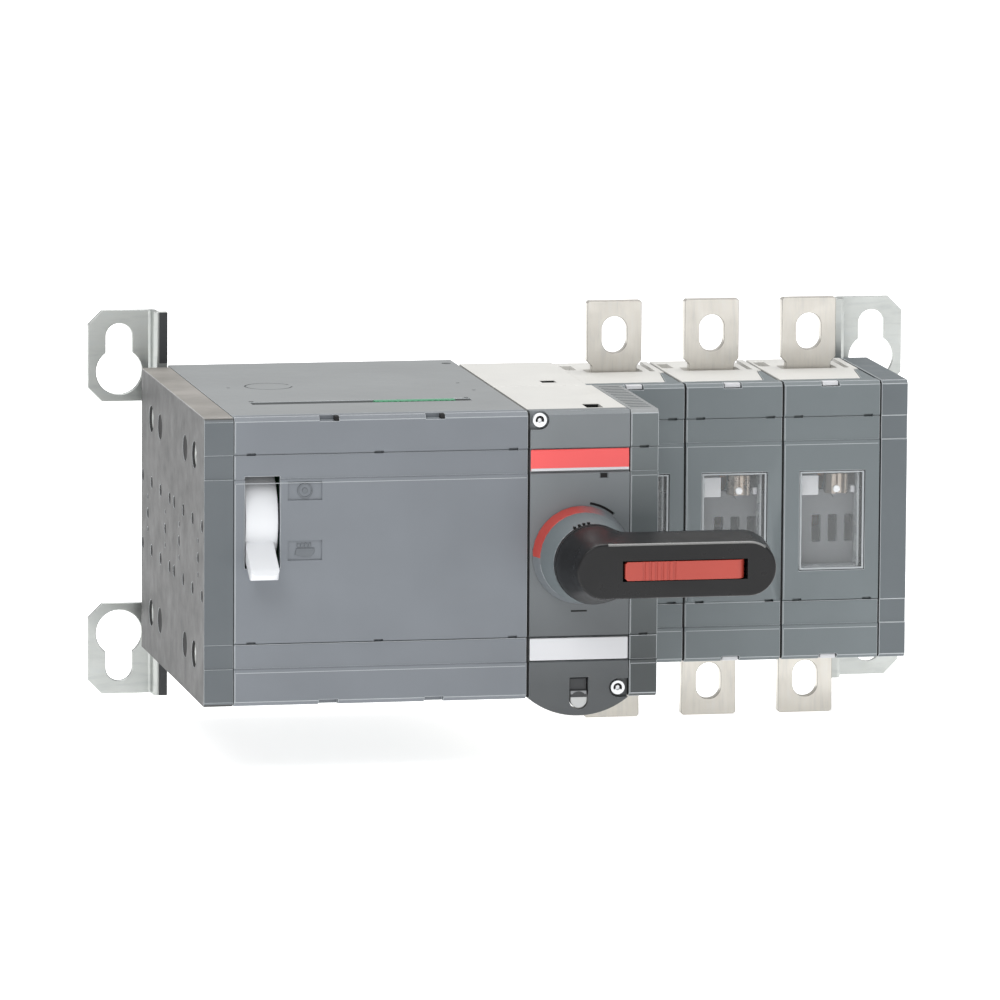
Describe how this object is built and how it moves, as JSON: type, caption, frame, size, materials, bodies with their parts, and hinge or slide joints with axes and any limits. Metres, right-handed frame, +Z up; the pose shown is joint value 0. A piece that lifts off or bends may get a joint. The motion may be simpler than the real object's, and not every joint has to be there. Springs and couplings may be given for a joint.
{
  "type": "manual transfer switch",
  "caption": "Row-built transfer switch with a motor operator box, a rotary pistol handle on the mechanism module, windowed poles with flat terminals, and keyhole brackets.",
  "frame": {"origin": "on the handle's turning axis, in the plane of the panel that the keyhole tabs rest on", "axes": "+X along the row of modules towards the poles, +Y into the panel, +Z up"},
  "size_m": [0.2944, 0.1884, 0.148],
  "materials": {
    "housing_grey": "fine moulded texture, semi-matt",
    "cover_grey": "fine moulded texture, semi-matt",
    "base_light": "moulded thermoset, semi-matt",
    "grip_black": "satin",
    "handle_red": "semi-matt",
    "label_red": "printed stripe, satin",
    "white_plastic": "smooth",
    "connector_green": "smooth",
    "board_green": "lacquered board",
    "window_clear": "clear moulded plastic",
    "zinc_steel": "zinc plated, satin",
    "tinned_copper": "tin plated, satin",
    "contact_copper": "silver-faced copper, satin",
    "bare_steel": "machined"
  },
  "bodies": {
    "frame": {"end_plate_left": "housing_grey", "operator_housing": "housing_grey", "mechanism_side_cover": "housing_grey", "arc_chute_1": "housing_grey", "arc_chute_2": "housing_grey", "arc_chute_3": "housing_grey", "end_plate_right": "cover_grey", "operator_front_cover": "cover_grey", "mechanism_cover": "cover_grey", "pole_cover_1": "cover_grey", "pole_cover_2": "cover_grey", "pole_cover_3": "cover_grey", "mechanism_front_housing": "base_light", "mechanism_rear_housing": "base_light", "pole_housing_1": "base_light", "pole_housing_2": "base_light", "pole_housing_3": "base_light", "handle_base_ring": "handle_red", "stripe_label": "label_red", "marking_plate": "white_plastic", "control_connector": "connector_green", "circuit_board": "board_green", "pole_window_1": "window_clear", "pole_window_2": "window_clear", "pole_window_3": "window_clear", "mounting_bracket_left": "zinc_steel", "mounting_bracket_right": "zinc_steel", "cover_screw_upper": "zinc_steel", "cover_screw_lower": "zinc_steel", "tie_rod_front_upper": "zinc_steel", "tie_rod_front_lower": "zinc_steel", "tie_rod_rear_upper": "zinc_steel", "tie_rod_rear_lower": "zinc_steel", "rod_nut_front_upper": "zinc_steel", "rod_nut_front_lower": "zinc_steel", "rod_nut_rear_upper": "zinc_steel", "rod_nut_rear_lower": "zinc_steel", "line_terminal_1": "tinned_copper", "load_terminal_1": "tinned_copper", "line_terminal_2": "tinned_copper", "load_terminal_2": "tinned_copper", "line_terminal_3": "tinned_copper", "load_terminal_3": "tinned_copper", "selector_pin": "bare_steel", "drive_motor": "bare_steel"},
    "handle": {"handle_collar": "housing_grey", "handle_grip": "grip_black", "handle_shaft": "bare_steel", "handle_lock_pin": "bare_steel"},
    "lock_lever": {"handle_lock_lever": "handle_red"},
    "contacts": {"contact_shaft": "bare_steel", "contact_blade_1": "contact_copper", "contact_blade_2": "contact_copper", "contact_blade_3": "contact_copper"},
    "selector": {"selector_lever": "white_plastic"},
    "clip": {"locking_clip": "white_plastic"},
    "wheel": {"gear_wheel": "white_plastic"},
    "pinion": {"motor_pinion": "bare_steel"}
  },
  "joints": [
    {"name": "handle_turn", "type": "hinge", "parent": "frame", "child": "handle", "pos_m": [0, -0.168, 0], "axis": [0, -1, 0], "range_deg": [0, 90]},
    {"name": "contact_turn", "type": "hinge", "parent": "frame", "child": "contacts", "pos_m": [0.05, -0.04375, 0], "axis": [-1, 0, 0], "range_deg": [0, 50]},
    {"name": "lock_lever_swing", "type": "hinge", "parent": "handle", "child": "lock_lever", "pos_m": [0.045, -0.1847, 0], "axis": [0, 0, 1], "range_deg": [0, 35]},
    {"name": "selector_swing", "type": "hinge", "parent": "frame", "child": "selector", "pos_m": [-0.1101, -0.1295, 0.0135], "axis": [-1, 0, 0], "range_deg": [0, 60]},
    {"name": "clip_slide", "type": "slide", "parent": "frame", "child": "clip", "axis": [0, -1, 0], "range_m": [0, 0.01]},
    {"name": "wheel_spin", "type": "hinge", "parent": "frame", "child": "wheel", "pos_m": [-0.037, -0.055, 0.00925], "axis": [1, 0, 0], "continuous": true},
    {"name": "pinion_spin", "type": "hinge", "parent": "frame", "child": "pinion", "pos_m": [-0.037, -0.055, -0.015], "axis": [1, 0, 0], "continuous": true}
  ],
  "couplings": [
    {"joint": "contact_turn", "follows": "handle_turn", "ratio": 0.5555},
    {"joint": "pinion_spin", "follows": "wheel_spin", "ratio": -3}
  ]
}
